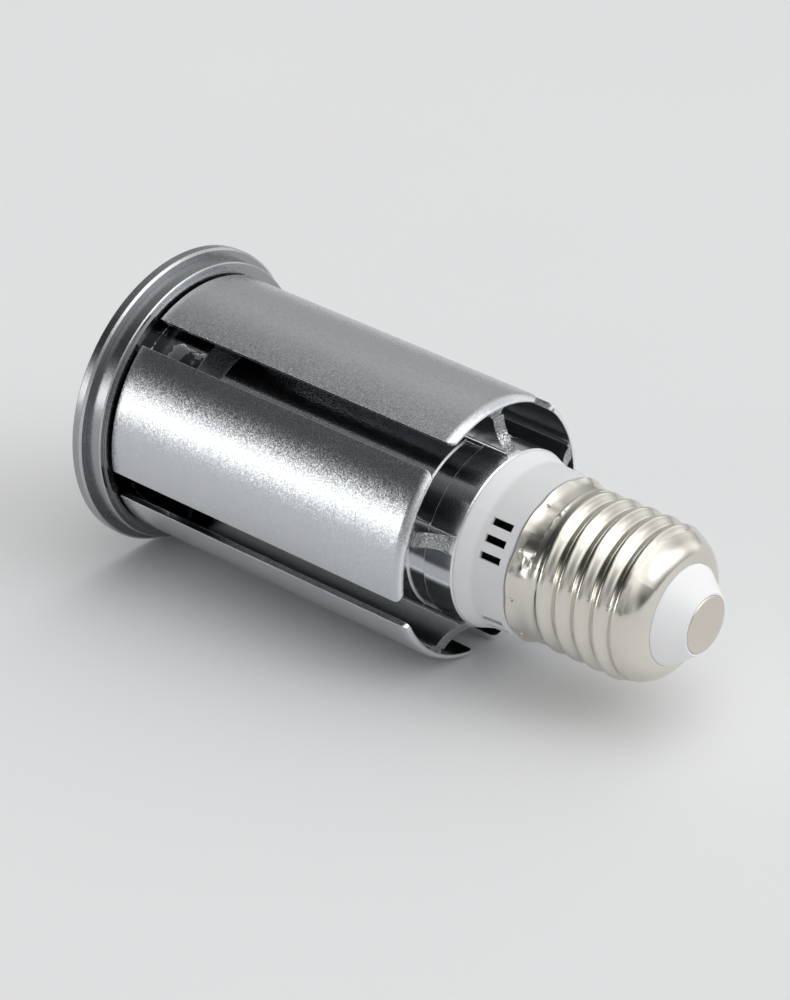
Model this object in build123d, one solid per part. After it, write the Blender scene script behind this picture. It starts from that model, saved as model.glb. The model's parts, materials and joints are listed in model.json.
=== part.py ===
from build123d import *
from math import acos, asin, cos, exp, pi, radians, sin, sqrt
import os

# Screw-cap spot lamp, in millimetres. It stands on its front rim and +Z runs to the centre contact.
# Angles are in degrees round the axis from +X.

# Fits
slip = 0.05
press = 0.02
join_tolerance = 0.004

# Front rim
bezel_radius = 25.65
bezel_width = 2.05
bezel_chamfer = 0.35
bezel_opening = 19.2
bezel_lip = 1.3

# Lens stack, front to back
lens_radius = 20.5
lens_thickness = 1.8
lens_chamfer = 0.2
gasket_thickness = 0.8
gasket_width = 1.8
reflector_flange = 0.6

# Heat sink front
flange_radius = 24.15
flange_width = 2.95
lip_radius = 23.2
lip_width = 0.35
hub_radius = 19.0
hub_length = 10.15
hub_cone = 2.3
seat_bore = 22.0
cup_bore = 17.2
cup_depth = 10.0
cup_floor_thickness = 3.0

# Petals and webs
petal_count = 5
petal_angle = -45.0
petal_radius = 22.3
petal_wall = 1.1
petal_gap = 5.4
petal_front_gap = 0.6
petal_length = 61.05
petal_corner = 1.1
petal_edge_radius = 1.6
petal_edge_drop = 0.55
web_width = 2.45
web_fillet = 0.8
web_lip_depth = 1.9
web_lip_step = 0.5
web_hollow = 0.8

# Core tube
core_radius = 15.0
core_wall = 2.1
core_rise = 4.4
core_chamfer = 0.2
groove_setback = 1.1
groove_width = 3.5
groove_depth = 0.3

# Collar and the driver housing on it
collar_step = 0.25
collar_edge = 0.25
collar_band_width = 2.7
collar_band_taper = 0.75
collar_neck_taper = 0.4
collar_length = 9.1
collar_wall = 1.3
crimp_seat_gap = 0.85
crimp_seat_length = 3.5
housing_wall = 1.05
housing_gap = 1.5
housing_floor = 1.0
neck_wall = 1.2
vent_group_angles = (15.0, 90.0, 195.0, 270.0)
vent_pitch_angle = 11.7
vents_in_group = 3
vent_width = 1.2
vent_length = 3.8
vent_rise = 5.85

# Screw shell, E27 thread form
shell_wall = 0.3
shell_gap = 0.4
skirt_radius = 13.0
skirt_length = 3.3
skirt_flare = 0.72
skirt_sections = 9
crimp_count = 10
crimp_angle = 14.0
crimp_wave = 0.34
crimp_rise = 0.95
punch_radius = 0.36
punch_depth = 0.3
dent_angle = 21.0
dent_spread = 6.0
dent_rise = 1.5
dent_length = 1.1
dent_depth = 0.42
thread_pitch = 3.629
thread_crest_radius = 13.2
thread_depth = 1.07
thread_length = 17.6
thread_run_in = 3.3
thread_run_out = 2.8
first_crest = 2.21
sections_per_turn = 6
thread_points = 12
dome_arc = 5.2
dome_setback = 2.1
dome_opening = 8.4
dome_overrun = 0.1

# Cap insulator and contact
insulator_neck = 3.1
insulator_cone = 4.25
insulator_tip_radius = 5.15
insulator_proud = 0.15
contact_radius = 4.77
contact_thickness = 0.6
eyelet_radius = 1.2
eyelet_length = 4.5

# Light source
board_radius = 13.2
board_thickness = 1.2
pad_thickness = 0.3
phosphor_radius = 5.9
phosphor_thickness = 0.4
dam_width = 0.8
dam_height = 0.5
dam_round = 0.2
reflector_neck_radius = 7.1
reflector_neck_length = 1.8
reflector_mouth_radius = 16.1
reflector_wall = 0.75
screw_circle = 10.8
screw_radius = 1.25
screw_length = 4.0
screw_head_radius = 2.0
screw_head_height = 1.4
recess_reach = 1.15
recess_width = 0.44
recess_depth = 0.7

# Driver board and its leads
driver_side_gap = 0.6
driver_thickness = 1.2
driver_setback = 7.4
rail_depth = 1.4
rail_thickness = 1.2
rail_setback = 2.0
lead_radius = 0.5
lead_bend = 1.2
lead_hole_radius = 0.62
lead_slot_radius = 1.25
leg_half = 0.25
leg_slack = 0.1
leg_reach = 0.8
film_leg_inset = 1.2
axial_leg_reach = 1.6
dc_lead_x = -8.0
ac_lead_x = 8.0
ac_lead_foot = 1.6
ac_lead_rise = 4.0

# Heights that follow from the stack
lens_front = bezel_lip
gasket_front = lens_front + lens_thickness
reflector_front = gasket_front + gasket_thickness
seat_floor = reflector_front + reflector_flange
cup_floor = seat_floor + cup_depth
cup_floor_rear = cup_floor + cup_floor_thickness
pad_front = cup_floor - pad_thickness
board_front = pad_front - board_thickness
reflector_neck_front = board_front - reflector_neck_length

# Heights that follow along the heat sink
flange_rear = bezel_width + flange_width
lip_rear = flange_rear + lip_width
hub_rear = lip_rear + hub_length
hub_foot = hub_rear + hub_cone
petal_front = lip_rear + petal_front_gap
petal_rear = petal_front + petal_length
core_rear = petal_rear + core_rise
groove_to = petal_rear - groove_setback
groove_from = groove_to - groove_width

# Heights that follow along the collar and the cap
collar_band_top = core_rear + collar_band_width
collar_shoulder = core_rear + collar_length
vent_centre = core_rear + vent_rise
crimp_seat_from = collar_shoulder + collar_edge
crimp_seat_to = crimp_seat_from + crimp_seat_length
shell_rim = collar_shoulder + shell_gap
crimp_height = shell_rim + crimp_rise
dent_height = shell_rim + dent_rise
skirt_top = shell_rim + skirt_length
thread_end = skirt_top + thread_length
thread_crest_height = skirt_top + first_crest
dome_centre_height = thread_end - dome_setback
neck_top = thread_end - slip
insulator_foot = thread_end - thread_run_out
insulator_rise = thread_end + insulator_neck
insulator_tip = insulator_rise + insulator_cone
contact_top = insulator_tip + insulator_proud
contact_face = contact_top - contact_thickness
eyelet_foot = contact_face - eyelet_length
neutral_height = thread_crest_height + 1.5*thread_pitch

# Radii that follow from the fits
web_lip_radius = petal_radius - web_lip_depth
core_bore = core_radius - core_wall
housing_radius = core_bore - slip
housing_bore = housing_radius - housing_wall
collar_radius = core_radius - collar_step
collar_band_radius = collar_radius - collar_band_taper
collar_neck_radius = collar_band_radius - collar_neck_taper
crimp_seat_radius = skirt_radius - crimp_seat_gap
thread_mean_radius = thread_crest_radius - thread_depth/2
dome_centre_radius = thread_mean_radius - dome_arc
neck_radius = thread_crest_radius - thread_depth - shell_wall - 2*slip
neck_bore = neck_radius - neck_wall

# The driver housing, and the board that stands in it
housing_front = cup_floor_rear + housing_gap
housing_inside = housing_front + housing_floor
driver_face = driver_thickness/2
driver_half_width = housing_bore - driver_side_gap
driver_top = core_rear - driver_setback
rail_top = driver_top - rail_setback
leg_end = driver_face + leg_reach
dc_lead_y = sqrt(screw_circle**2 - dc_lead_x**2)

# Component places on the driver board: x, foot above the board's lower end, length, radius
output_can = (1.5, 3.0, 12.0, 4.0)
input_can = (3.2, 31.0, 9.0, 4.0)
choke_place = (-4.0, 30.0, 9.0, 2.5)
resistor_place = (5.0, 5.0, 8.0, 1.6)

# Box capacitor: x, foot, length, width, height
film_box = (-6.2, 31.5, 8.0, 4.4, 6.0)

# Transformer and chips: x and middle above the board's lower end, then sizes
transformer_centre = (0.0, 24.0)
transformer_rise = 4.9
ferrite_width = 13.0
ferrite_length = 12.0
ferrite_depth = 4.0
ferrite_leg = 3.2
ferrite_window = 2.8
ferrite_window_length = 8.0
ferrite_chamfer = 0.3
bobbin_wall = 0.55
bobbin_flange = 1.0
bobbin_gap = 0.1
bobbin_pin_inset = 0.9
winding_height = 0.9
winding_round = 1.2
driver_chip_form = (0.0, 24.0, 3.9, 4.9, 1.6, 4)
rectifier_form = (4.5, 34.0, 4.6, 5.2, 2.4, 2)
pin_half = 0.1
pin_reach = 0.5

# The transformer's spool round the centre leg, between the outer legs
bobbin_bore_half_width = ferrite_leg/2 + slip
bobbin_bore_half_depth = ferrite_depth/2 + slip
bobbin_half_width = bobbin_bore_half_width + bobbin_wall
bobbin_half_depth = bobbin_bore_half_depth + bobbin_wall
bobbin_flange_half_width = ferrite_leg/2 + ferrite_window - bobbin_gap
winding_half_width = bobbin_flange_half_width - 2*bobbin_gap
winding_half_depth = bobbin_half_depth + winding_height


def turned(points):
    """Solid of revolution about Z from (radius, height) corners."""
    return revolve(make_face(Plane.XZ*Polyline(*points, close=True)), Axis.Z)


def round_bar(radius, low, high):
    """Plain bar on the axis between two heights."""
    return Pos(0, 0, low)*Cylinder(radius, high-low, align=(Align.CENTER, Align.CENTER, Align.MIN))


def block(x_from, x_to, y_from, y_to, z_from, z_to):
    """Box between two corners."""
    centre = Pos((x_from+x_to)/2, (y_from+y_to)/2, (z_from+z_to)/2)
    return centre*Box(x_to-x_from, y_to-y_from, z_to-z_from)


def wire(points, radius, bend):
    """Round wire along a bent line."""
    path = FilletPolyline(*points, radius=bend)
    section = Plane(origin=path @ 0, z_dir=path % 0)*Circle(radius)
    return sweep(section, path=path)


def bezel_ring():
    """Turned front rim: its spigot enters the heat sink and its lip holds the lens."""
    spigot = seat_bore - slip
    spigot_end = seat_floor - 2*slip
    bore = lens_radius + slip
    return turned([
        (bezel_opening+bezel_lip, 0), (bezel_radius-bezel_chamfer, 0), (bezel_radius, bezel_chamfer),
        (bezel_radius, bezel_width-bezel_chamfer), (bezel_radius-bezel_chamfer, bezel_width),
        (spigot, bezel_width), (spigot, spigot_end), (bore, spigot_end), (bore, bezel_lip),
        (bezel_opening, bezel_lip), (bezel_opening, bezel_lip/2)])


def front_lens():
    """Clear flat disc with softened edges."""
    disc = round_bar(lens_radius, lens_front, gasket_front)
    return chamfer(disc.edges().filter_by(GeomType.CIRCLE), lens_chamfer)


def lens_gasket():
    """Flat seal ring."""
    ring = round_bar(lens_radius, gasket_front, reflector_front)
    return ring - round_bar(lens_radius-gasket_width, gasket_front, reflector_front)


def parabola_points(offset):
    """Reflector wall between neck and mouth, offset outwards by the wall."""
    focal = (reflector_mouth_radius**2-reflector_neck_radius**2)/(reflector_neck_front-reflector_front)
    apex = reflector_neck_front + reflector_neck_radius**2/focal
    points = []
    for step in range(7):
        radius = reflector_neck_radius + (reflector_mouth_radius-reflector_neck_radius)*step/6
        slope = 2*radius/focal
        length = sqrt(1+slope**2)
        points.append((radius+offset*slope/length, apex-radius**2/focal+offset/length))
    return points


def reflector():
    """Parabolic cup with a seating flange in front and a plain neck on the circuit board."""
    inner = parabola_points(0)
    outer = [(radius, height) for radius, height in parabola_points(reflector_wall)
             if height > seat_floor and radius > reflector_neck_radius + 1.2*reflector_wall]
    neck = reflector_neck_radius + reflector_wall
    return turned(
        [(reflector_neck_radius, board_front)] + inner + [(lens_radius, reflector_front)]
        + [(lens_radius, seat_floor), (reflector_mouth_radius+reflector_wall, seat_floor)]
        + outer[::-1] + [(neck, reflector_neck_front+reflector_wall), (neck, board_front)])


def board_hole_tools(clearance, low, high):
    """Bars through the screw places of the circuit board."""
    return [Pos(side*screw_circle, 0, 0)*round_bar(screw_radius+clearance, low, high) for side in (-1, 1)]


def dc_lead_tools(radius, low, high):
    """Bars through the two direct-current lead places."""
    return [Pos(dc_lead_x, side*dc_lead_y, 0)*round_bar(radius, low, high) for side in (-1, 1)]


def led_board():
    """Round aluminium circuit board with two screw holes and two lead holes."""
    board = round_bar(board_radius, board_front, pad_front)
    return board - board_hole_tools(2*slip, 0, cup_floor) - dc_lead_tools(lead_slot_radius, 0, cup_floor)


def thermal_pad():
    """Thin sheet between board and cup floor."""
    pad = round_bar(board_radius, pad_front, cup_floor)
    return pad - board_hole_tools(4*slip, 0, cup_floor) - dc_lead_tools(lead_slot_radius, 0, cup_floor)


def led_dam():
    """Raised ring round the phosphor."""
    return turned([
        (phosphor_radius, board_front), (phosphor_radius, board_front-phosphor_thickness),
        (phosphor_radius+dam_round, board_front-dam_height),
        (phosphor_radius+dam_width-dam_round, board_front-dam_height),
        (phosphor_radius+dam_width, board_front-dam_round), (phosphor_radius+dam_width, board_front)])


def phosphor_disc():
    """Flat phosphor fill inside the dam."""
    return round_bar(phosphor_radius, board_front-phosphor_thickness, board_front)


def board_screw():
    """Pan-head screw, head towards the front, with a cross recess."""
    head_front = board_front - screw_head_height
    screw = turned([
        (0, head_front), (screw_head_radius*0.6, head_front), (screw_head_radius*0.9, head_front+0.3),
        (screw_head_radius, head_front+0.8), (screw_head_radius, board_front), (screw_radius, board_front),
        (screw_radius, board_front+screw_length-0.4), (screw_radius-0.4, board_front+screw_length),
        (0, board_front+screw_length)])
    for angle in (0, 90):
        screw -= Rot(0, 0, angle)*block(-recess_reach, recess_reach, -recess_width/2, recess_width/2,
                                        head_front, head_front+recess_depth)
    return screw


def led_board_screws():
    """Two identical screws, opposite each other."""
    return [Pos(side*screw_circle, 0, 0)*board_screw() for side in (-1, 1)]


def sink_core():
    """Turned part of the heat sink: flange, lip, hub with cup, and the core tube with its shallow groove."""
    edge = bezel_chamfer/2
    groove = core_radius - groove_depth
    return turned([
        (seat_bore, bezel_width), (flange_radius, bezel_width), (flange_radius, flange_rear-edge),
        (flange_radius-edge, flange_rear), (lip_radius, flange_rear), (lip_radius, lip_rear),
        (hub_radius, lip_rear), (hub_radius, hub_rear), (core_radius, hub_foot),
        (core_radius, groove_from), (groove, groove_from+groove_depth/3),
        (groove, groove_to-groove_depth/3), (core_radius, groove_to), (core_radius, core_rear-core_chamfer),
        (core_radius-core_chamfer, core_rear), (core_bore, core_rear), (core_bore, cup_floor_rear),
        (0, cup_floor_rear), (0, cup_floor), (cup_bore, cup_floor), (cup_bore, seat_floor),
        (seat_bore, seat_floor)])


def petal_section():
    """Cross-section of the webs and petals, with fillets where they meet the core and each other."""
    inner = petal_radius - petal_wall
    web_lap = petal_wall/2
    section = Circle(petal_radius) - Circle(inner) + Circle(core_radius)
    for k in range(petal_count):
        gap_angle = petal_angle + (k+0.5)*360/petal_count
        section -= Rot(0, 0, gap_angle)*Pos(petal_radius, 0)*Rectangle(4*petal_wall, petal_gap)
    for k in range(petal_count):
        web_angle = petal_angle + k*360/petal_count
        length = inner - core_radius + 2*web_lap
        section += Rot(0, 0, web_angle)*Pos((inner+core_radius)/2, 0)*Rectangle(length, web_width)
    corners = []
    for vertex in section.vertices():
        reach = sqrt(vertex.X**2+vertex.Y**2)
        if abs(reach-core_radius) < 0.2:
            corners.append(vertex)
        if abs(reach-inner) < 0.05:
            if near_web(vertex.X, vertex.Y):
                corners.append(vertex)
    section = fillet(corners, web_fillet)
    return section - Circle(core_radius)


def near_web(x, y):
    """True for a corner beside a web, not at a petal's open edge."""
    for k in range(petal_count):
        web = radians(petal_angle + k*360/petal_count)
        across = abs(-x*sin(web)+y*cos(web))
        along = x*cos(web)+y*sin(web)
        if along > 0 and across < web_width:
            return True
    return False


def petal_envelope():
    """Turned outline of the petals' rear: rounded outer edge, flat end, step, hollow arc to the core."""
    edge_from = petal_rear - petal_edge_radius
    inside = core_radius - core_wall
    step = (web_lip_radius-web_lip_step/5, petal_rear+web_lip_step)
    foot = (core_radius, core_rear-core_chamfer)
    middle = ((step[0]+foot[0])/2-web_hollow*0.6, (step[1]+foot[1])/2-web_hollow*0.8)
    outline = Polyline((inside, petal_front), (petal_radius, petal_front), (petal_radius, edge_from))
    outline += ThreePointArc((petal_radius, edge_from),
                             (petal_radius-petal_edge_drop*0.25, petal_rear-petal_edge_radius*0.45),
                             (petal_radius-petal_edge_drop, petal_rear))
    outline += Polyline((petal_radius-petal_edge_drop, petal_rear), (web_lip_radius, petal_rear), step)
    outline += ThreePointArc(step, middle, foot)
    outline += Polyline(foot, (inside, foot[1]), (inside, petal_front))
    return revolve(make_face(Plane.XZ*outline), Axis.Z)


def petal_corner_tool():
    """Cutter that widens a gap at its rear end and leaves the petals' corners round."""
    half = petal_gap/2
    low = petal_rear - petal_corner
    plan = Pos(0, low+2*petal_corner)*Rectangle(petal_gap+2*petal_corner, 4*petal_corner)
    for side in (-1, 1):
        plan -= Pos(side*(half+petal_corner), low)*Circle(petal_corner)
    return extrude(Plane.YZ.offset(web_lip_radius)*plan, 2*petal_wall+2)


def heat_sink():
    """One-piece aluminium body."""
    fins = extrude(Pos(0, 0, petal_front)*petal_section(), core_rear-petal_front)
    fins = fins & petal_envelope()
    for k in range(petal_count):
        gap_angle = petal_angle + (k+0.5)*360/petal_count
        fins -= Rot(0, 0, gap_angle)*petal_corner_tool()
    body = sink_core() + fins
    for k in range(petal_count):
        web_angle = petal_angle + k*360/petal_count
        root = block(core_radius-core_wall/2, core_radius+groove_depth, -web_width/2, web_width/2,
                     groove_from-groove_depth, groove_to+groove_depth)
        body += Rot(0, 0, web_angle)*root
    body -= round_bar(cup_bore, seat_floor, cup_floor)
    body -= board_hole_tools(press, 0, board_front+screw_length+collar_edge)
    return body - dc_lead_tools(lead_hole_radius, 0, core_rear/2)


def collar():
    """White neck, driver housing and cap neck in one moulding, with board rails and vent slots."""
    hollow = collar_neck_radius - collar_wall
    neck_from = crimp_seat_to + collar_wall/2
    body = turned([
        (0, housing_front), (housing_radius, housing_front), (housing_radius, core_rear),
        (collar_radius, core_rear), (collar_radius, core_rear+collar_edge),
        (collar_band_radius, collar_band_top),
        (collar_band_radius-collar_edge/2, collar_band_top+3*collar_edge),
        (collar_neck_radius, collar_shoulder), (crimp_seat_radius, crimp_seat_from),
        (crimp_seat_radius, crimp_seat_to), (neck_radius, neck_from), (neck_radius, neck_top),
        (neck_bore, neck_top), (neck_bore, crimp_seat_from), (hollow, crimp_seat_from-2*collar_wall),
        (hollow, core_rear+collar_wall), (housing_bore, core_rear), (housing_bore, housing_inside),
        (0, housing_inside)])
    for side in (-1, 1):
        for face in (-1, 1):
            near = driver_face + slip
            far = near + rail_thickness
            outer = sqrt(housing_bore**2-far**2) + collar_edge
            inner = sqrt(housing_bore**2-near**2) - rail_depth
            body += block(min(side*inner, side*outer), max(side*inner, side*outer),
                          min(face*near, face*far), max(face*near, face*far), housing_inside, rail_top)
    for group in vent_group_angles:
        for k in range(vents_in_group):
            angle = group + (k-(vents_in_group-1)/2)*vent_pitch_angle
            slot = block(housing_bore-1, collar_radius+1, -vent_width/2, vent_width/2,
                         vent_centre-vent_length/2, vent_centre+vent_length/2)
            body -= Rot(0, 0, angle)*slot
    body -= Pos(-neck_radius, 0, neutral_height)*Rot(0, 90, 0)*Cylinder(lead_hole_radius, 4*neck_wall)
    return body - dc_lead_tools(lead_hole_radius, 0, core_rear/2)


def ramp(value, low, high):
    """Smooth step from 0 to 1."""
    t = min(max((value-low)/(high-low), 0.0), 1.0)
    return t*t*(3-2*t)


def closed_curve(radii, height, start):
    """Smooth closed curve through evenly turned points, from a start given in turns."""
    count = len(radii)
    points = []
    for k, radius in enumerate(radii):
        angle = 2*pi*(start+k/count)
        points.append((radius*cos(angle), radius*sin(angle), height))
    even = [k/count for k in range(count+1)]
    return Wire(Edge.make_spline(points, periodic=True, parameters=even))


def skirt_rise(height):
    """Share of the flare at a height of the skirt, 1 at the rim."""
    return ((skirt_top-height)/skirt_length)**2.5


def dent(angle, height):
    """How far the skirt is pushed in by its one deep dent."""
    across = (angle-dent_angle)/dent_spread
    along = (height-dent_height)/dent_length
    return dent_depth*exp(-across**2-along**2)


def skirt_section(height, inset):
    """Curve round the crimped skirt, drawn in at every crimp."""
    count = 8*crimp_count
    radii = []
    for k in range(count):
        angle = 360*k/count
        pinch = 0.5+0.5*cos(crimp_count*radians(angle-crimp_angle))
        flare = skirt_rise(height)*(skirt_flare-crimp_wave*pinch**2)
        fade = min(1.0, 2*(skirt_top-height)/skirt_length)
        radii.append(skirt_radius-inset+flare-fade*dent(angle, height))
    return closed_curve(radii, height, 0)


def thread_section(height, inset):
    """Curve round the rolled thread, started on the crest so that it turns with the thread."""
    start = ramp(height, skirt_top, skirt_top+thread_run_in)
    radius = skirt_radius + (thread_mean_radius-skirt_radius)*start - inset
    if height > dome_centre_height:
        radius = dome_centre_radius + sqrt((dome_arc-inset)**2-(height-dome_centre_height)**2)
    swell = thread_depth/2*start*(1-ramp(height, thread_end-thread_run_out, thread_end))
    radii = [radius+swell*cos(2*pi*k/thread_points) for k in range(thread_points)]
    return closed_curve(radii, height, (height-thread_crest_height)/thread_pitch)


def dome_plug(inset):
    """Solid dome inside one skin of the shell."""
    arc = dome_arc - inset
    start = asin((thread_end-dome_centre_height)/arc)
    end = acos((dome_opening-dome_overrun-dome_centre_radius)/arc)
    first, middle, last = [(dome_centre_radius+arc*cos(angle), dome_centre_height+arc*sin(angle))
                           for angle in (start, (start+end)/2, end)]
    outline = ThreePointArc(first, middle, last) + Polyline(last, (0, last[1]), (0, first[1]), first)
    return revolve(make_face(Plane.XZ*outline), Axis.Z).solid()


def shell_plug(inset):
    """Full body inside one skin of the shell: crimped skirt, rolled thread and dome."""
    skirt_heights = [shell_rim+skirt_length*k/(skirt_sections-1) for k in range(skirt_sections)]
    skirt = Solid.make_loft([skirt_section(height, inset) for height in skirt_heights])
    steps = round(sections_per_turn*thread_length/thread_pitch)
    thread_heights = [skirt_top+(thread_end-skirt_top)*k/steps for k in range(steps+1)]
    thread = Solid.make_loft([thread_section(height, inset) for height in thread_heights])
    return skirt.fuse(thread, dome_plug(inset), tol=join_tolerance)


def screw_shell():
    """Thin shell with rolled thread, crimped skirt with punch marks and a dent, and an open dome."""
    outside = shell_plug(0.0)
    shell = outside - shell_plug(shell_wall)
    shell -= round_bar(dome_opening, neck_top, contact_top)
    skin = skirt_radius + skirt_rise(crimp_height)*(skirt_flare-crimp_wave)
    length = 4*punch_depth
    for k in range(crimp_count):
        angle = crimp_angle + 360*k/crimp_count
        place = Rot(0, 0, angle)*Pos(skin-dent(angle, crimp_height), 0, crimp_height)*Rot(0, 90, 0)
        punch = Pos(0, 0, length/2-punch_depth)*Cone(punch_radius/3, 3*punch_radius, length)
        bulge = Pos(0, 0, length/2-punch_depth-shell_wall)*Cone(punch_radius/2, 3*punch_radius, length)
        shell += (place*bulge) & outside
        shell -= place*punch
    return shell


def cap_insulator():
    """White cone with a flange under the dome and a spigot in the cap neck."""
    arc = dome_arc - shell_wall - slip
    flange = neck_radius - shell_wall - 2*slip
    flange_top = dome_centre_height + sqrt(arc**2-(flange-dome_centre_radius)**2)
    opening = dome_opening - slip
    under_opening = dome_centre_height + sqrt(arc**2-(opening-dome_centre_radius)**2)
    spigot = neck_bore - slip
    middle = radians(28)
    recess = contact_face
    outline = Polyline((spigot, insulator_foot), (spigot, neck_top), (flange, neck_top), (flange, flange_top))
    outline += ThreePointArc((flange, flange_top),
                             (dome_centre_radius+arc*sin(middle), dome_centre_height+arc*cos(middle)),
                             (opening, under_opening))
    outline += Polyline(
        (opening, under_opening), (opening, insulator_rise), (insulator_tip_radius, insulator_tip),
        (contact_radius+slip, insulator_tip), (contact_radius+slip, recess), (eyelet_radius+slip, recess),
        (eyelet_radius+slip, eyelet_foot-shell_wall), (spigot/2, eyelet_foot-neck_wall),
        (spigot-neck_wall, insulator_foot),
        (spigot, insulator_foot))
    return revolve(make_face(Plane.XZ*outline), Axis.Z)


def centre_contact():
    """Flat contact disc with a hollow eyelet that takes the live lead."""
    bore = lead_radius + slip
    crown = contact_top - insulator_proud
    return turned([
        (0, contact_top), (contact_radius-insulator_proud, contact_top), (contact_radius, crown),
        (contact_radius, contact_face), (eyelet_radius, contact_face), (eyelet_radius, eyelet_foot),
        (bore, eyelet_foot), (bore, contact_face-insulator_proud), (0, contact_face-insulator_proud)])


def ends(place):
    """Lower and upper end of a component, as heights on the lamp."""
    low = housing_inside + place[1]
    return low, low + place[2]


def can_legs(place):
    """Board holes of a lying can: two beside its rear end."""
    x, radius = place[0], place[3]
    return [(x+side*0.45*radius, ends(place)[1]+1.0) for side in (-1, 1)]


def film_legs():
    """Board holes of the box capacitor."""
    low, high = ends(film_box)
    return [(film_box[0], low+film_leg_inset), (film_box[0], high-film_leg_inset)]


def axial_legs(place):
    """Board holes of a lying axial component."""
    low, high = ends(place)
    return [(place[0], low-axial_leg_reach), (place[0], high+axial_leg_reach)]


def bobbin_legs():
    """Board holes of the transformer pins."""
    x, y, z = transformer_middle()
    across = bobbin_flange_half_width - bobbin_pin_inset
    along = (ferrite_window_length-bobbin_flange)/2
    return [(x+side*across, z+end*along) for side in (-1, 1) for end in (-1, 1)]


def transformer_middle():
    """Centre point of the transformer."""
    x, height = transformer_centre
    return x, driver_face+transformer_rise, housing_inside+height


def post(x, y_from, y_to, z, half):
    """Square pin across the board."""
    return block(x-half, x+half, y_from, y_to, z-half, z+half)


def leg(x, y, z_from, z):
    """Square leg that leaves a body along the lamp and bends down through the board."""
    end = -leg_end if y > 0 else leg_end
    run = block(x-leg_half, x+leg_half, y-leg_half, y+leg_half,
                min(z_from, z-leg_half), max(z_from, z+leg_half))
    return run + post(x, min(y, end), max(y, end), z, leg_half)


def driver_board():
    """Flat board in the rails, with a hole for every leg that passes through it."""
    board = block(-driver_half_width, driver_half_width, -driver_face, driver_face,
                  housing_inside, driver_top)
    places = can_legs(output_can) + can_legs(input_can) + film_legs() + bobbin_legs()
    places += axial_legs(choke_place) + axial_legs(resistor_place)
    for x, z in places:
        board -= post(x, -driver_thickness, driver_thickness, z, leg_half+leg_slack)
    return board


def can_capacitor(place):
    """Electrolytic can that lies on the board, with two bent legs."""
    x, radius = place[0], place[3]
    low, high = ends(place)
    y = driver_face + radius
    edge = radius/8
    waist = radius - edge
    can = turned([
        (0, low), (waist, low), (radius, low+edge), (radius, high-3*edge), (waist, high-2.5*edge),
        (waist, high-2*edge), (radius, high-1.5*edge), (radius, high-edge), (waist, high), (0, high)])
    body = Pos(x, y, 0)*can
    for leg_x, leg_z in can_legs(place):
        body += leg(leg_x, y, high-edge, leg_z)
    return body


def film_capacitor():
    """Box capacitor with two straight legs."""
    x, foot, length, width, height = film_box
    low, high = ends(film_box)
    body = block(x-width/2, x+width/2, driver_face, driver_face+height, low, high)
    body = fillet(body.edges(), 0.5)
    for leg_x, leg_z in film_legs():
        body += post(leg_x, -leg_end, driver_face+1, leg_z, leg_half)
    return body


def axial_component(place, waist):
    """Lying cylinder with a narrower middle on the rear face of the board, and a bent leg at each end."""
    x, radius = place[0], place[3]
    low, high = ends(place)
    y = -driver_face - radius
    body = Pos(x, y, 0)*turned([
        (0, low), (radius-0.4, low), (radius, low+0.4), (radius, low+1.8), (radius-waist, low+2.2),
        (radius-waist, high-2.2), (radius, high-1.8), (radius, high-0.4), (radius-0.4, high), (0, high)])
    for end, (leg_x, leg_z) in zip((low+0.2, high-0.2), axial_legs(place)):
        body += leg(leg_x, y, end, leg_z)
    return body


def transformer_core():
    """Ferrite frame with a centre leg along the lamp."""
    x, y, z = transformer_middle()
    core = Pos(x, y, z)*Box(ferrite_width, ferrite_depth, ferrite_length)
    core = chamfer(core.edges().filter_by(Axis.Y), ferrite_chamfer)
    window = Box(ferrite_window, 2*ferrite_depth, ferrite_window_length)
    for side in (-1, 1):
        core -= Pos(x+side*(ferrite_leg+ferrite_window)/2, y, z)*window
    return core


def transformer_bobbin():
    """Spool on the centre leg, with two flanges that stand on the board and four pins."""
    x, y, z = transformer_middle()
    spool = Pos(x, y, z)*Box(2*bobbin_half_width, 2*bobbin_half_depth, ferrite_window_length)
    top = y + winding_half_depth + bobbin_gap
    for end in (-1, 1):
        middle = z + end*(ferrite_window_length-bobbin_flange)/2
        spool += block(x-bobbin_flange_half_width, x+bobbin_flange_half_width, driver_face, top,
                       middle-bobbin_flange/2, middle+bobbin_flange/2)
    spool -= Pos(x, y, z)*Box(2*bobbin_bore_half_width, 2*bobbin_bore_half_depth, 2*ferrite_window_length)
    for leg_x, leg_z in bobbin_legs():
        spool += post(leg_x, -leg_end, driver_face+1, leg_z, leg_half)
    return spool


def transformer_winding():
    """Taped winding between the bobbin flanges."""
    x, y, z = transformer_middle()
    length = ferrite_window_length - 2*bobbin_flange
    coil = Pos(x, y, z)*Box(2*winding_half_width, 2*winding_half_depth, length)
    coil = fillet(coil.edges().filter_by(Axis.Z), winding_round)
    return coil - Pos(x, y, z)*Box(2*bobbin_half_width, 2*bobbin_half_depth, ferrite_window_length)


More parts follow.
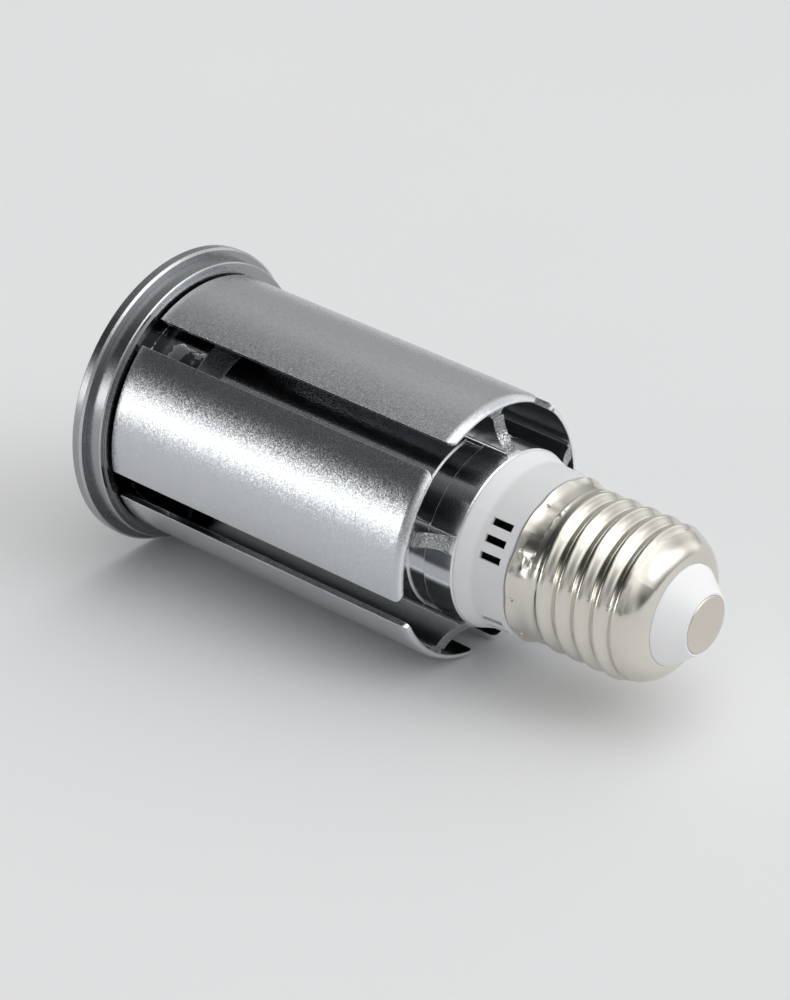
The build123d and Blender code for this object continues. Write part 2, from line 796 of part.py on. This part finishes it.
def flat_chip(form):
    """Moulded chip on the rear face of the board, with gull-wing pins along both sides."""
    x, height, width, length, thickness, pins = form
    z = housing_inside + height
    face = -driver_face
    body = block(x-width/2, x+width/2, face-thickness, face-pin_half, z-length/2, z+length/2)
    body = chamfer(body.edges().group_by(Axis.Y)[0], 0.25)
    waist = face - thickness/2
    for side in (-1, 1):
        for k in range(pins):
            pin_z = z + (k-(pins-1)/2)*length/pins
            near = x + side*(width/2-pin_half)
            knee = x + side*(width/2+pin_reach)
            toe = x + side*(width/2+2*pin_reach)
            for x_from, x_to, y_from, y_to in (
                    (near, knee, waist-pin_half, waist+pin_half),
                    (knee-side*2*pin_half, knee, waist-pin_half, face),
                    (knee-side*2*pin_half, toe, face-2*pin_half, face)):
                body += block(min(x_from, x_to), max(x_from, x_to), y_from, y_to, pin_z-0.2, pin_z+0.2)
    return body


def driver_chip():
    """Eight-pin driver chip."""
    return flat_chip(driver_chip_form)


def bridge_rectifier():
    """Four-pin rectifier."""
    return flat_chip(rectifier_form)


def dc_lead(side):
    """Lead from the driver board through housing and cup floor to the light board's front face."""
    start_y = side*(driver_face+lead_radius)
    hole_y = side*dc_lead_y
    low = board_front - lead_radius
    inward = 1 - 2.3/screw_circle
    points = [(dc_lead_x, start_y, housing_inside+11.0), (dc_lead_x, start_y, housing_inside+7.0),
              (dc_lead_x, hole_y, housing_inside+3.5), (dc_lead_x, hole_y, low),
              (dc_lead_x*inward, hole_y*inward, low)]
    return wire(points, lead_radius, lead_bend)


def live_lead():
    """Lead from the driver board along the axis into the contact's eyelet."""
    start_y = driver_face + lead_radius
    points = [(ac_lead_x, start_y, driver_top-ac_lead_foot), (ac_lead_x, start_y, driver_top+ac_lead_rise),
              (0, 0, collar_shoulder), (0, 0, contact_face-2*insulator_proud)]
    return wire(points, lead_radius, 2*lead_bend)


def neutral_lead():
    """Lead from the driver board up the neck and out to the screw shell's inside."""
    start_y = driver_face + lead_radius
    inside = neck_bore - lead_bend - 0.2
    reach = thread_mean_radius - shell_wall + 0.2
    points = [(-ac_lead_x, start_y, driver_top-ac_lead_foot), (-ac_lead_x, start_y, driver_top+ac_lead_rise),
              (-inside, 0, collar_shoulder), (-inside, 0, neutral_height), (-reach, 0, neutral_height)]
    return wire(points, lead_radius, lead_bend)


nodes = {
    "bezel_ring": bezel_ring, "front_lens": front_lens, "lens_gasket": lens_gasket, "reflector": reflector,
    "led_board": led_board, "thermal_pad": thermal_pad, "led_dam": led_dam, "phosphor_disc": phosphor_disc,
    "led_board_screws": led_board_screws, "heat_sink": heat_sink, "collar": collar,
    "screw_shell": screw_shell, "cap_insulator": cap_insulator, "centre_contact": centre_contact,
    "driver_board": driver_board, "film_capacitor": film_capacitor,
    "transformer_core": transformer_core, "transformer_bobbin": transformer_bobbin,
    "transformer_winding": transformer_winding, "driver_chip": driver_chip,
    "bridge_rectifier": bridge_rectifier, "live_lead": live_lead, "neutral_lead": neutral_lead,
}

shapes = {name: make() for name, make in nodes.items()}
shapes["output_capacitor"] = can_capacitor(output_can)
shapes["input_capacitor"] = can_capacitor(input_can)
shapes["choke"] = axial_component(choke_place, 0.5)
shapes["fusible_resistor"] = axial_component(resistor_place, 0.3)
shapes["red_lead"] = dc_lead(1)
shapes["black_lead"] = dc_lead(-1)

os.makedirs("parts", exist_ok=True)
for name, shape in shapes.items():
    if isinstance(shape, list):
        shape = Compound(children=shape)
    export_step(shape, f"parts/{name}.step")
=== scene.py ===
import json
from math import cos, radians, sin
import bpy
from mathutils import Matrix, Vector

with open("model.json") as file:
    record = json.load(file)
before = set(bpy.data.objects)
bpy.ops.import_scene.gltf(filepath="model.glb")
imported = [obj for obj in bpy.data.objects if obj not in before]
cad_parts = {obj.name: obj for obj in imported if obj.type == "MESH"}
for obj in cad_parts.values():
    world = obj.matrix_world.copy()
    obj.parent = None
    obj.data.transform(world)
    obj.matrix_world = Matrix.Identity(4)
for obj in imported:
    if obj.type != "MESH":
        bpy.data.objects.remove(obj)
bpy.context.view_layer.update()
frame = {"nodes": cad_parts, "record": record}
nodes = frame["nodes"]
MM_PER_METRE = 1000
MM = 1/MM_PER_METRE

# The table that the lamp lies on, as a plane in the lamp's own frame, and the camera above it
TABLE_NORMAL = Vector((0.706, -0.706, -0.0555)).normalized()
TABLE_HALF_MM = 3000
RIM_CONTACT = Vector((-18.14, 18.14, 2.05))*MM
CAMERA_PLACE = Vector((528.03, 85.67, 400.85))*MM
CAMERA_RIGHT = Vector((-0.43253, -0.48101, 0.76259))
CAMERA_UP = Vector((0.36442, -0.86690, -0.34011))
CAMERA_BACK = CAMERA_RIGHT.cross(CAMERA_UP)
LENS_MM = 144.0
SENSOR_MM = 36.0
NEAREST_SEEN_M = 0.01
LAMP_MIDDLE = Vector((0, 0, 55))*MM

# Along the table: right in the picture, and towards the camera. The foot is the table's point under the lamp.
TABLE_RIGHT = (CAMERA_RIGHT-TABLE_NORMAL*CAMERA_RIGHT.dot(TABLE_NORMAL)).normalized()
TABLE_TOWARDS = TABLE_RIGHT.cross(TABLE_NORMAL)
TABLE_FOOT = LAMP_MIDDLE - TABLE_NORMAL*(LAMP_MIDDLE-RIM_CONTACT).dot(TABLE_NORMAL)

# Where the finishes change, in millimetres: radii from the lamp's axis, heights from its front rim.
# First the soft changes, each from its start to its end.
RIM_RADIUS = (20.9, 21.1)
RIM_TOP = (5.8, 6.0)
FRONT_CHAMFER_TOP = (5.5, 5.6)
CUP_TOP = (17.2, 18.5)
SMEARS_TOP = (15.0, 15.6)
CORE_RADIUS = (15.2, 15.5)
GROOVE_RADIUS = (15.1, 15.3)
PETAL_FRONT = (6.1, 6.3)
PETAL_REAR = (66.0, 66.4)
PETAL_SIDE_RADIUS = (20.6, 21.1)
PETAL_SKIN_RADIUS = (21.8, 22.1)
VENT_INSIDE_RADIUS = (13.2, 13.35)
# Then the bands, each with the softness of its ends
SMEAR_RADII = (18.5, 19.3, 0.2)
WEB_RADII = (15.2, 21.3, 0.2)
GROOVE_FRONT_EDGE = (62.3, 62.56, 0.04)
GROOVE_REAR_EDGE = (65.74, 65.98, 0.04)
COLLAR_FRONT_BAND = (70.0, 74.4, 0.2)
VENT_HEIGHTS = (74.6, 80.2, 0.1)

# How far a surface faces a way, from -1 to 1: a change as above, and two bands
FACING_REAR = (0.35, 0.6)
FACING_SIDEWAYS = (-0.45, 0.45, 0.1)
FACING_AS_CHAMFER = (0.45, 0.92, 0.05)

# Brightness of the metal's zones, what a grain adds to it, the painted highlights on edges, the painted shade
# in the cup and on the web ends, the painted reflection on smear spots, and the shares taken off
SKIN_LEVEL = 0.54
INSIDE_LEVEL = 0.4
WEB_END_PAINTED_SHADE = 0.16
FLAKE_GLINT = 0.08
CLOUD_GLINT = 0.03
WEB_END_GLINT = 0.5
SMEAR_PAINTED_REFLECTION = 0.4
EDGE_PAINTED_HIGHLIGHT = 0.2
CUT_SIDE_PAINTED_HIGHLIGHT = 0.15
GROOVE_PAINTED_HIGHLIGHT = 0.3
CORE_GLINT = 0.17
RIM_SHADE = 0.4
CUP_PAINTED_SHADE = 0.7
COOL_TINT = (0.97, 1.03)

# Roughness of the metal's zones, and what a grain or an edge adds to it or takes off
SKIN_ROUGH = 0.21
INSIDE_ROUGH = 0.2
FLAKE_ROUGH = 0.05
CLOUD_ROUGH = 0.03
EDGE_POLISH = 0.05
GROOVE_ROUGH = 0.35

# Share of the flakes' lean that the front rim lacks, being turned
RIM_EVENNESS = 0.6


class Value:
    """A number, colour or vector that a node gives, for use in expressions."""

    def __init__(self, owner, socket):
        self.owner = owner
        self.socket = socket

    def __add__(self, other):
        return self.owner.maths("ADD", self, other)

    def __sub__(self, other):
        return self.owner.maths("SUBTRACT", self, other)

    def __rsub__(self, other):
        return self.owner.maths("SUBTRACT", other, self)

    def __mul__(self, other):
        return self.owner.maths("MULTIPLY", self, other)

    def __truediv__(self, other):
        return self.owner.maths("DIVIDE", self, other)

    __radd__ = __add__
    __rmul__ = __mul__


class Nodes:
    """A node tree that is written as expressions."""

    def __init__(self, tree):
        self.tree = tree
        self.tree.nodes.clear()

    def node(self, kind, settings=None, sockets=None, out=0):
        """Adds one node: its settings first, then its sockets, and gives one of its outputs."""
        made = self.tree.nodes.new("ShaderNode"+kind)
        for name, value in (settings or {}).items():
            setattr(made, name, value)
        for name, value in (sockets or {}).items():
            if isinstance(value, Value):
                self.tree.links.new(value.socket, made.inputs[name])
            else:
                made.inputs[name].default_value = value
        return Value(self, made.outputs[out]) if made.outputs else None

    def maths(self, operation, first, second=0.0):
        return self.node("Math", {"operation": operation}, {0: first, 1: second})

    def largest(self, first, second):
        return self.maths("MAXIMUM", first, second)

    def vector(self, operation, first, second=(0, 0, 0), out=0):
        return self.node("VectorMath", {"operation": operation}, {0: first, 1: second}, out)

    def parts(self, vector):
        """The three numbers of a vector."""
        split = self.node("SeparateXYZ", {}, {0: vector}).socket.node
        return [Value(self, socket) for socket in split.outputs]

    def mix(self, share, first, second):
        """Blend of two colours, or of two normals, by a share from 0 to 1."""
        return self.node("Mix", {"data_type": "RGBA"}, {0: share, 6: first, 7: second}, 2)

    def rise(self, value, low, high):
        """Smooth rise from 0 at low to 1 at high."""
        return self.node("MapRange", {"interpolation_type": "SMOOTHSTEP"},
                         {"Value": value, "From Min": low, "From Max": high})

    def fall(self, value, low, high):
        """Smooth fall from 1 at low to 0 at high."""
        return 1 - self.rise(value, low, high)

    def band(self, value, low, high, soft):
        """1 between low and high, with soft ends."""
        return self.rise(value, low-soft, low+soft)*self.fall(value, high-soft, high+soft)


class Finish(Nodes):
    """A node material, with the shapes and grains that the lamp's surfaces share."""

    def __init__(self, name):
        self.material = bpy.data.materials.new(name)
        self.material.use_nodes = True
        super().__init__(self.material.node_tree)
        self.place = self.node("TexCoord", out="Object")
        self.x, self.y, self.z = [part*MM_PER_METRE for part in self.parts(self.place)]

    def grain(self, size_mm, detail=2.0, stretch=None):
        """Noise from 0 to 1 with spots of about the given size, drawn out where the stretch is under 1."""
        place = self.place
        if stretch:
            place = self.vector("MULTIPLY", place, stretch)
        return self.node("TexNoise", {}, {"Vector": place, "Scale": MM_PER_METRE/size_mm, "Detail": detail})

    def flakes(self, size_mm):
        """Random colour of each cell of the given size."""
        return self.node("TexVoronoi", {}, {"Vector": self.place, "Scale": MM_PER_METRE/size_mm}, "Color")

    def leaning(self, normal, flakes, lean):
        """Normal that leans to a random side in each flake."""
        shift = self.vector("MULTIPLY", self.vector("SUBTRACT", flakes, (0.5, 0.5, 0.5)), (lean, lean, lean))
        return self.vector("NORMALIZE", self.vector("ADD", normal, shift))

    def soft_edge(self, radius_mm):
        """Normal that rounds sharp edges by a radius."""
        return self.node("Bevel", {"samples": 6}, {"Radius": radius_mm*MM})

    def radius(self):
        """Distance from the lamp's axis in millimetres."""
        return self.maths("POWER", self.x*self.x+self.y*self.y, 0.5)

    def facing(self):
        """How far the surface faces outwards from the axis, and how far to the lamp's rear."""
        out_x, out_y, rear = self.parts(self.node("NewGeometry", out="Normal"))
        return (out_x*self.x+out_y*self.y)/self.radius(), rear

    def bump(self, height, depth_mm, normal=None):
        """Relief of a depth from a height that runs from 0 to 1, on a normal if one is given."""
        sockets = {"Height": height, "Distance": depth_mm*MM}
        if normal:
            sockets["Normal"] = normal
        return self.node("Bump", {}, sockets)

    def surface(self, **values):
        """Ends the finish with one surface shader and gives the material."""
        sockets = {name.replace("_", " "): value for name, value in values.items()}
        shader = self.node("BsdfPrincipled", {}, sockets)
        self.node("OutputMaterial", {}, {"Surface": shader})
        return self.material


def gunmetal():
    """Aluminium: satin flaked skin outside, glossy and darker inside, with painted highlights on cut and
    groove edges, painted shade in the cup and on the web ends, and painted reflections on the cup's smear
    spots.
    """
    f = Finish("satin_gunmetal")
    radius = f.radius()
    outward, rearward = f.facing()

    # Zones of the metal, each 1 inside the zone and 0 outside it
    skin = f.rise(radius, *PETAL_SKIN_RADIUS)
    rim = f.rise(radius, *RIM_RADIUS)*f.fall(f.z, *RIM_TOP)
    cup = f.fall(f.z, *CUP_TOP)
    rear_face = f.rise(rearward, *FACING_REAR)*f.rise(f.z, *PETAL_REAR)
    web_end = rear_face*f.band(radius, *WEB_RADII)
    cut_side = f.band(outward, *FACING_SIDEWAYS)*f.rise(radius, *PETAL_SIDE_RADIUS)*f.rise(f.z, *PETAL_FRONT)
    front_chamfer = f.band(rearward, *FACING_AS_CHAMFER)*f.fall(f.z, *FRONT_CHAMFER_TOP)*skin
    groove_edges = f.band(f.z, *GROOVE_FRONT_EDGE) + f.band(f.z, *GROOVE_REAR_EDGE)
    groove_edges = groove_edges*f.fall(radius, *GROOVE_RADIUS)
    # Zone of painted highlights: rear faces, cut sides, front chamfer and groove edges, painted lighter
    painted_highlight_edges = f.largest(f.largest(rear_face, cut_side), f.largest(front_chamfer, groove_edges))
    dark = (1-skin)*(1-painted_highlight_edges)
    core_tube = dark*f.fall(radius, *CORE_RADIUS)*(1-cup)

    # Grains: fine flakes, slow clouds, and smear spots on the cup's outside, a small relief that is also
    # painted brighter as a reflection
    flakes = f.flakes(size_mm=0.14)
    shade = f.parts(flakes)[0]
    cloud = f.grain(size_mm=9.0, detail=3.0)
    spots = f.rise(f.grain(size_mm=2.2, detail=3.0), low=0.52, high=0.6)
    # Smear spots: a real relief, and a painted reflection on the cup
    smear_relief_and_reflection = spots*f.band(radius, *SMEAR_RADII)*f.fall(f.z, *SMEARS_TOP)

    # Brightness of each zone, and then of the whole
    skin_level = (SKIN_LEVEL+FLAKE_GLINT*shade+CLOUD_GLINT*cloud)*(1-RIM_SHADE*rim)
    # Painted highlights added on the cut and groove edges
    edge_painted_highlight = EDGE_PAINTED_HIGHLIGHT*painted_highlight_edges + CUT_SIDE_PAINTED_HIGHLIGHT*cut_side + GROOVE_PAINTED_HIGHLIGHT*groove_edges
    # Painted shade: the cup, deep in the recess between the petals, is painted darker
    inside_level = INSIDE_LEVEL*(1-CUP_PAINTED_SHADE*cup) + SMEAR_PAINTED_REFLECTION*smear_relief_and_reflection*cup
    # Painted shade: the webs' rear ends painted dark, with a sparkle of the flakes
    web_end_painted_shade = WEB_END_PAINTED_SHADE + WEB_END_GLINT*shade*shade
    level = skin_level*(1-dark) + edge_painted_highlight + inside_level*dark + CORE_GLINT*core_tube
    level = level*(1-web_end) + web_end_painted_shade*web_end
    bluish = f.node("CombineColor", {}, {0: level*COOL_TINT[0], 1: level, 2: level*COOL_TINT[1]})

    skin_rough = SKIN_ROUGH + FLAKE_ROUGH*shade + CLOUD_ROUGH*cloud
    rough = skin_rough*(1-dark) + INSIDE_ROUGH*dark - EDGE_POLISH*painted_highlight_edges + GROOVE_ROUGH*groove_edges
    soft = f.soft_edge(radius_mm=0.17)
    even = f.largest(dark, RIM_EVENNESS*rim)
    flaked = f.mix(even, f.leaning(soft, flakes, lean=0.14), soft)
    relief = f.bump(smear_relief_and_reflection*dark, depth_mm=0.02, normal=flaked)
    return f.surface(Base_Color=bluish, Metallic=1.0, Roughness=rough, Normal=relief)


def white_moulding(name, level, gloss, tint, vented=False):
    """White satin moulding. A vented one is painted brighter on its front band as a highlight, and painted
    dark as shade on its inner wall behind the slots.
    """
    f = Finish(name)
    cloud = f.grain(size_mm=6.0, detail=3.0)
    colour = f.mix(cloud, (level*tint[0], level*tint[1], level*tint[2], 1), (level, level, level, 1))
    if vented:
        # Painted highlight on the front band, and painted shade on the inner wall seen through the vent slots
        band_painted_highlight, slot_painted_shade = (0.82, 0.83, 0.84, 1), (0.01, 0.01, 0.01, 1)
        colour = f.mix(0.5*f.band(f.z, *COLLAR_FRONT_BAND), colour, band_painted_highlight)
        slot_shade = f.band(f.z, *VENT_HEIGHTS)*f.fall(f.radius(), *VENT_INSIDE_RADIUS)
        colour = f.mix(slot_shade, colour, slot_painted_shade)
    rough = gloss + 0.08*f.grain(size_mm=0.8)
    relief = f.bump(f.grain(size_mm=0.3), depth_mm=0.003, normal=f.soft_edge(radius_mm=0.16))
    return f.surface(Base_Color=colour, Roughness=rough, Normal=relief, Subsurface_Weight=0.08,
                     Subsurface_Scale=2*MM)


def nickel_plate():
    """Bright nickel plate on the rolled shell, with faint drawn lines round it and dull spots."""
    f = Finish("nickel_plate")
    clean_nickel, dull_nickel = (0.67, 0.64, 0.58, 1), (0.74, 0.72, 0.66, 1)
    lines = f.grain(size_mm=0.5, detail=3.0, stretch=(0.08, 0.08, 1.0))
    spots = f.grain(size_mm=2.5, detail=4.0)
    relief = f.bump(lines, depth_mm=0.003, normal=f.soft_edge(radius_mm=0.05))
    return f.surface(Base_Color=f.mix(spots, clean_nickel, dull_nickel), Metallic=1.0,
                     Roughness=0.12+0.06*spots+0.03*lines, Normal=relief)


def contact_plate():
    """Satin nickel of the centre contact, with fine marks."""
    f = Finish("contact_plate")
    worn_nickel, clean_nickel = (0.62, 0.57, 0.50, 1), (0.74, 0.70, 0.64, 1)
    marks = f.grain(size_mm=0.4, detail=4.0)
    relief = f.bump(marks, depth_mm=0.006, normal=f.soft_edge(radius_mm=0.05))
    return f.surface(Base_Color=f.mix(marks, worn_nickel, clean_nickel), Metallic=1.0,
                     Roughness=0.32+0.12*marks, Normal=relief)


def plain_part(name, dark, light, metallic=0.0, rough=0.45, size_mm=1.0, depth_mm=0.01, **more):
    """Finish of a small inner part: two near colours in a fine grain, with a little relief."""
    f = Finish(name)
    marks = f.grain(size_mm, detail=3.0)
    return f.surface(Base_Color=f.mix(marks, (*dark, 1), (*light, 1)), Metallic=metallic,
                     Roughness=rough+0.12*marks, Normal=f.bump(marks, depth_mm), **more)


# The finish of each material slot of the record
finishes = {
    "gunmetal": gunmetal(),
    "clear_plastic": plain_part("clear_lens", (0.93, 0.95, 0.96), (0.97, 0.98, 0.99), rough=0.04, size_mm=4.0,
                                depth_mm=0.002, Transmission_Weight=0.95, IOR=1.49),
    "seal": plain_part("lens_seal", (0.72, 0.72, 0.71), (0.82, 0.82, 0.8), rough=0.6),
    "bright_cup": plain_part("vacuum_coat", (0.82, 0.83, 0.84), (0.9, 0.91, 0.92), metallic=1.0, rough=0.06,
                             size_mm=3.0, depth_mm=0.003),
    "board_metal": plain_part("white_board_mask", (0.8, 0.8, 0.78), (0.88, 0.88, 0.86), rough=0.35),
    "pad_sheet": plain_part("grey_pad", (0.42, 0.47, 0.53), (0.5, 0.55, 0.6), rough=0.7),
    "dam_white": plain_part("white_dam", (0.84, 0.84, 0.82), (0.9, 0.9, 0.88), rough=0.4),
    "phosphor": plain_part("yellow_phosphor", (0.82, 0.56, 0.06), (0.9, 0.68, 0.12), rough=0.55, size_mm=0.3),
    "steel_screw": plain_part("zinc_plate", (0.6, 0.6, 0.58), (0.72, 0.72, 0.72), metallic=1.0, rough=0.3,
                              size_mm=0.6),
    "white_plastic": white_moulding("white_collar_moulding", level=0.73, gloss=0.34, tint=(0.96, 0.975, 1.0),
                                    vented=True),
    "nickel": nickel_plate(),
    "white_insulator": white_moulding("white_cap_insulator", level=0.86, gloss=0.28, tint=(0.975, 0.98, 1.0)),
    "nickel_contact": contact_plate(),
    "board_green": plain_part("green_board_mask", (0.03, 0.12, 0.05), (0.05, 0.17, 0.07), rough=0.35),
    "film_red": plain_part("red_dip_coat", (0.42, 0.07, 0.03), (0.5, 0.1, 0.04), rough=0.3),
    "ferrite": plain_part("ground_ferrite", (0.04, 0.04, 0.045), (0.07, 0.07, 0.075), rough=0.5, size_mm=0.4),
    "bobbin_black": plain_part("black_bobbin", (0.02, 0.02, 0.02), (0.04, 0.04, 0.04), rough=0.5),
    "winding_tape": plain_part("yellow_tape", (0.7, 0.5, 0.05), (0.8, 0.6, 0.09), rough=0.35, size_mm=2.0),
    "chip_black": plain_part("black_chip", (0.02, 0.02, 0.022), (0.035, 0.035, 0.038), rough=0.5,
                             size_mm=0.3),
    "lead_brown": plain_part("brown_insulation", (0.16, 0.06, 0.025), (0.2, 0.08, 0.035), rough=0.35),
    "lead_blue": plain_part("blue_insulation", (0.02, 0.07, 0.3), (0.03, 0.1, 0.38), rough=0.35),
    "can_sleeve": plain_part("dark_sleeve", (0.02, 0.02, 0.035), (0.035, 0.035, 0.055), rough=0.25,
                             size_mm=2.0),
    "choke_green": plain_part("green_sleeve", (0.02, 0.14, 0.08), (0.03, 0.19, 0.11), rough=0.35),
    "resistor_body": plain_part("beige_body", (0.6, 0.48, 0.33), (0.7, 0.58, 0.42)),
    "lead_red": plain_part("red_insulation", (0.42, 0.02, 0.015), (0.5, 0.03, 0.025), rough=0.35),
    "lead_black": plain_part("black_insulation", (0.015, 0.015, 0.015), (0.03, 0.03, 0.03), rough=0.35),
}

for part in frame["record"]["subparts"]:
    mesh = nodes[part["node"]].data
    mesh.materials.clear()
    mesh.materials.append(finishes[part["material_slot"]])


def table_point(right_mm, towards_mm):
    """Point on the table, from the foot of the lamp: right in the picture, and towards the camera."""
    return TABLE_FOOT + (TABLE_RIGHT*right_mm+TABLE_TOWARDS*towards_mm)*MM


def table_top():
    """Large pale table under the lamp, seen from above only, slightly uneven in tone."""
    mesh = bpy.data.meshes.new("table_top")
    corners = [table_point(TABLE_HALF_MM*i, TABLE_HALF_MM*j) for i, j in ((-1, 1), (1, 1), (1, -1), (-1, -1))]
    mesh.from_pydata(corners, [], [(0, 1, 2, 3)])
    table = bpy.data.objects.new("table_top", mesh)
    bpy.context.scene.collection.objects.link(table)
    f = Finish("pale_table")
    cloud = f.grain(size_mm=120.0)
    colour = f.mix(cloud, (0.795, 0.8, 0.808, 1), (0.815, 0.82, 0.828, 1))
    top = f.node("BsdfPrincipled", {}, {"Base Color": colour, "Roughness": 0.55+0.1*cloud})
    unseen = f.node("BsdfTransparent")
    underneath = f.node("NewGeometry", out="Backfacing")
    shader = f.node("MixShader", {}, {0: underneath, 1: top, 2: unseen})
    f.node("OutputMaterial", {}, {"Surface": shader})
    mesh.materials.append(f.material)


def camera():
    """The photo's camera, fitted to the circles and edges of the lamp in it."""
    data = bpy.data.cameras.new("camera")
    data.lens = LENS_MM
    data.sensor_width = SENSOR_MM
    data.clip_start = NEAREST_SEEN_M
    view = bpy.data.objects.new("camera", data)
    turn = Matrix((CAMERA_RIGHT, CAMERA_UP, CAMERA_BACK)).transposed()
    view.matrix_world = Matrix.Translation(CAMERA_PLACE) @ turn.to_4x4()
    bpy.context.scene.collection.objects.link(view)
    bpy.context.scene.camera = view


def table_direction(elevation, bearing):
    """Direction seen from the lamp: bearing 0 is towards the camera, 90 to the right of the picture."""
    rise, turn = radians(elevation), radians(bearing)
    level_part = TABLE_RIGHT*sin(turn) + TABLE_TOWARDS*cos(turn)
    return level_part*cos(rise) + TABLE_NORMAL*sin(rise)


# Soft lights of the room: elevation above the table, bearing, strength and how tight the light is
room_lights = [
    (4, 0, 0.24, 30), (4, 120, 0.99, 30), (4, 150, 0.21, 30), (4, 180, 0.35, 30), (4, 210, 0.55, 30),
    (9, 283, 3.6, 58), (4, 300, 0.3, 30), (0, 325, 0.45, 60), (0, 10, 0.4, 60),
    (20, 0, 0.26, 30), (32, 62, 2.1, 18), (20, 90, 1.65, 30), (20, 120, 0.48, 30), (20, 150, 0.95, 30),
    (20, 180, 0.13, 30), (20, 210, 0.12, 30), (20, 330, 0.47, 30),
    (42, 0, 0.85, 20), (42, 36, 0.6, 20), (42, 72, 1.1, 20), (42, 108, 0.16, 20), (42, 144, 0.62, 20),
    (42, 180, 0.42, 20), (42, 216, 0.08, 20),
    (65, 0, 0.8, 14), (65, 60, 0.11, 14), (65, 120, 0.76, 14), (90, 0, 1.54, 14),
]
room_glow = 0.035
room_colour = (0.72, 0.725, 0.73, 1)
white_light = (1, 1, 1, 1)


def room():
    """Pale surroundings: the camera sees them even, and the lamp sees the soft lights in them."""
    world = bpy.data.worlds.new("pale_room")
    world.use_nodes = True
    bpy.context.scene.world = world
    sky = Nodes(world.node_tree)
    direction = sky.vector("NORMALIZE", sky.node("TexCoord", out="Generated"))
    light = room_glow
    for elevation, bearing, strength, tightness in room_lights:
        nearness = sky.vector("DOT_PRODUCT", direction, table_direction(elevation, bearing), "Value")
        light = light + sky.maths("EXPONENT", (nearness-1)*tightness)*strength
    lit = sky.node("Background", {}, {"Color": white_light, "Strength": light})
    seen = sky.node("Background", {}, {"Color": room_colour, "Strength": 1.0})
    shader = sky.node("MixShader", {}, {0: sky.node("LightPath", out="Is Camera Ray"), 1: lit, 2: seen})
    sky.node("OutputWorld", {}, {"Surface": shader})


table_top()
camera()
room()
bpy.context.scene.view_settings.view_transform = "Standard"
